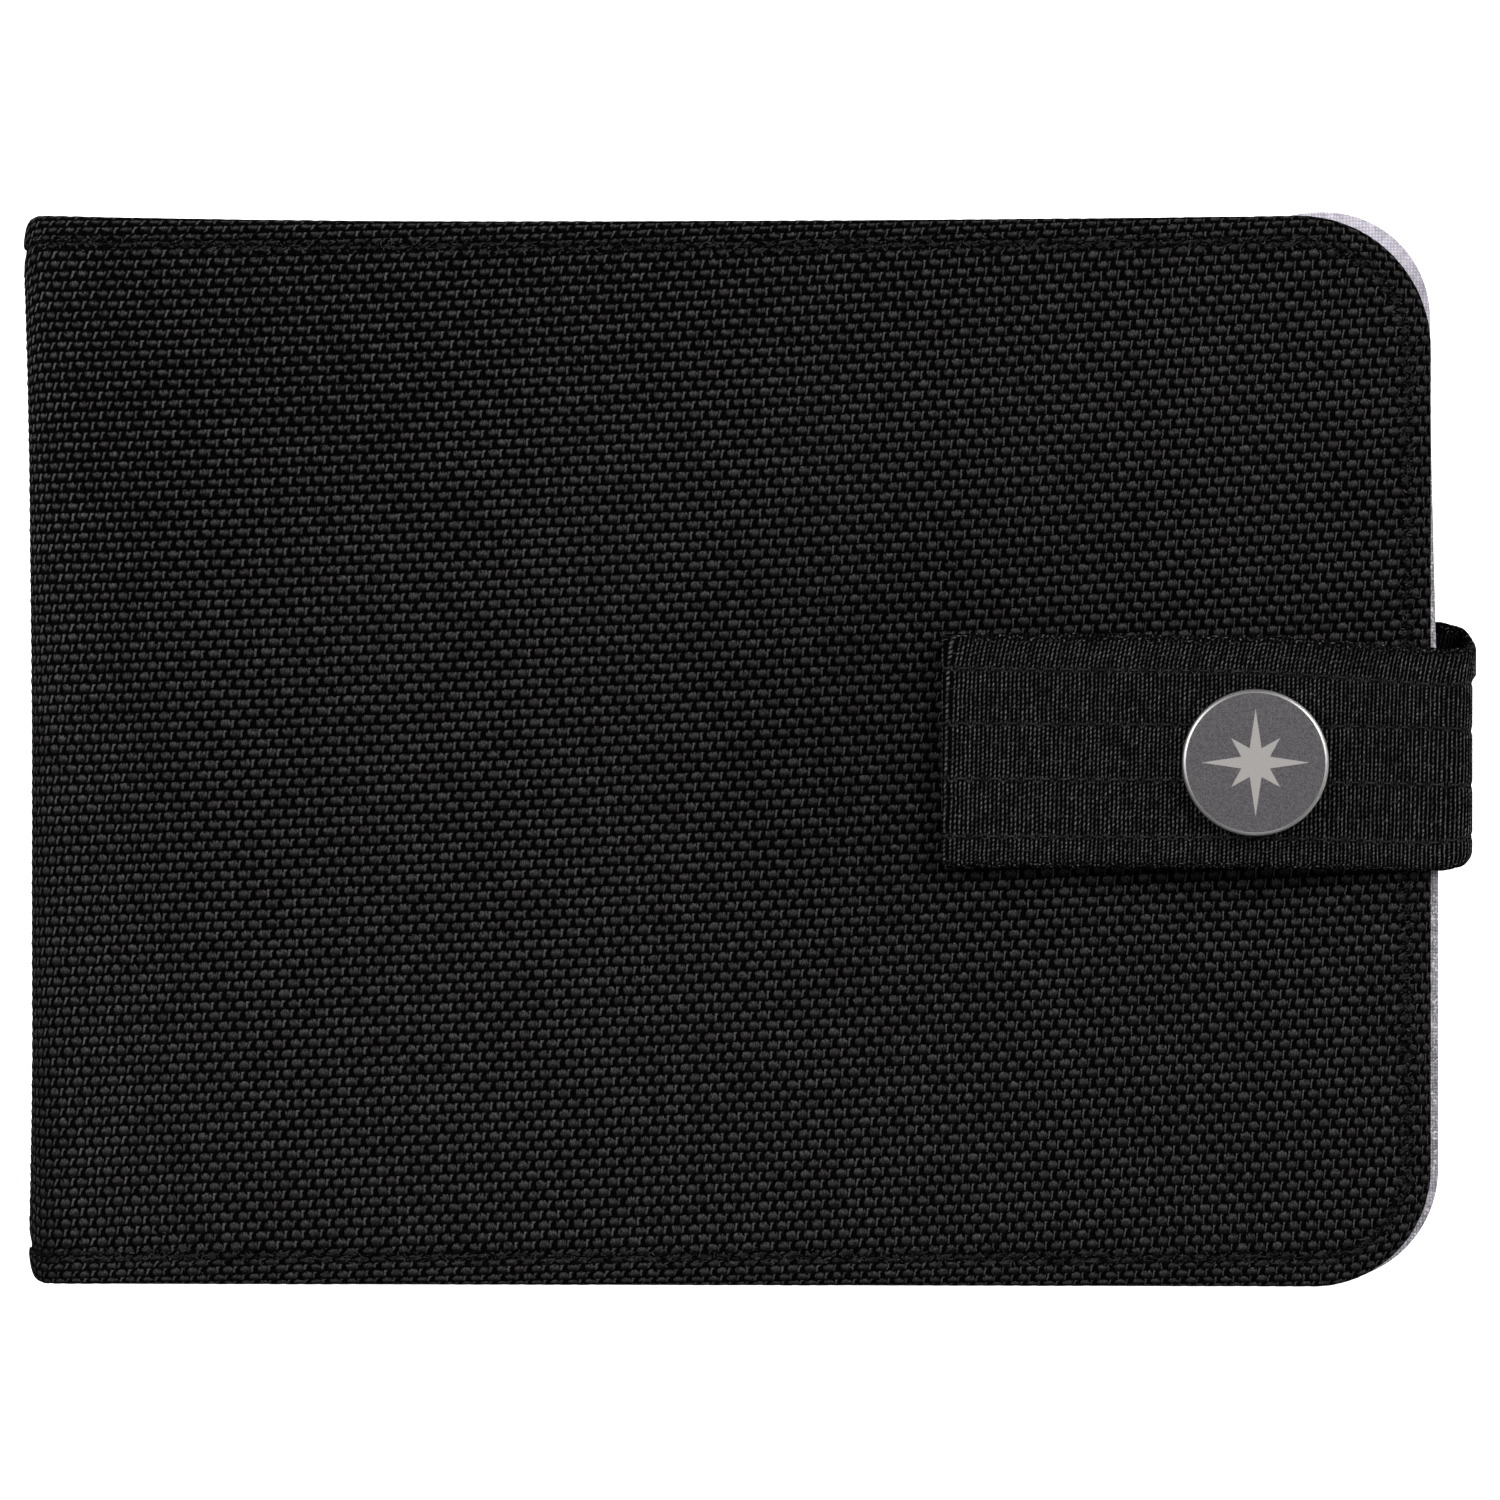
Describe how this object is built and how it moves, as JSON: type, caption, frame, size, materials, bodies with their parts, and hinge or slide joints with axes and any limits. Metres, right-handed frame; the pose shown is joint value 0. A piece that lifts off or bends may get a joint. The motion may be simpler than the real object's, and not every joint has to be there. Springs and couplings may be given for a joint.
{
  "type": "passport holder wallet",
  "caption": "Bifold fabric wallet that holds a passport in a sleeve, with note and card pockets in its cover, closed by a webbing strap and snap.",
  "frame": {"origin": "on the surface the closed wallet lies on, under the middle of its bounding box", "axes": "+X from the spine to the strap, +Y to the wallet's top edge, +Z out of the front cover"},
  "size_m": [0.15, 0.1108, 0.0182],
  "materials": {
    "shell_cloth": "ballistic basket weave, matt",
    "lining_cloth": "fine twill, matt",
    "stiffener_board": "smooth board",
    "binding_tape": "fine ribbed tape",
    "webbing": "ribbed woven webbing",
    "snap_cap_metal": "satin gunmetal",
    "snap_inner_metal": "satin nickel"
  },
  "bodies": {
    "back": {"back_shell": "shell_cloth", "back_stiffener": "stiffener_board", "back_lining": "lining_cloth", "passport_sleeve": "lining_cloth", "passport_sleeve_binding": "binding_tape", "strap_anchor": "webbing"},
    "spine": {"spine_shell": "shell_cloth", "spine_lining": "lining_cloth"},
    "cover": {"cover_shell": "shell_cloth", "cover_stiffener": "stiffener_board", "cover_lining": "lining_cloth", "note_pocket": "lining_cloth", "note_pocket_binding": "binding_tape", "card_pocket_1": "lining_cloth", "card_pocket_1_binding": "binding_tape", "card_pocket_2": "lining_cloth", "card_pocket_2_binding": "binding_tape", "card_pocket_3": "lining_cloth", "card_pocket_3_binding": "binding_tape", "snap_post": "snap_inner_metal", "snap_stud": "snap_inner_metal"},
    "strap_wrap": {"strap_wrap": "webbing"},
    "strap_flap": {"strap_flap": "webbing", "snap_cap": "snap_cap_metal", "snap_socket": "snap_inner_metal"}
  },
  "joints": [
    {"name": "spine_fold", "type": "hinge", "parent": "back", "child": "spine", "pos_m": [-0.07352, 0, 0.00143], "axis": [0, -1, 0], "range_deg": [0, 89]},
    {"name": "cover_fold", "type": "hinge", "parent": "spine", "child": "cover", "pos_m": [-0.07352, 0, 0.01117], "axis": [0, -1, 0], "range_deg": [0, 89]},
    {"name": "strap_lift", "type": "hinge", "parent": "back", "child": "strap_wrap", "pos_m": [0.07384, 0, 0.00201], "axis": [0, 1, 0], "range_deg": [0, 80]},
    {"name": "strap_unbend", "type": "hinge", "parent": "strap_wrap", "child": "strap_flap", "pos_m": [0.07384, 0, 0.01284], "axis": [0, 1, 0], "range_deg": [0, 80]}
  ],
  "couplings": [
    {"joint": "cover_fold", "follows": "spine_fold", "ratio": 1},
    {"joint": "strap_unbend", "follows": "strap_lift", "ratio": 1}
  ]
}
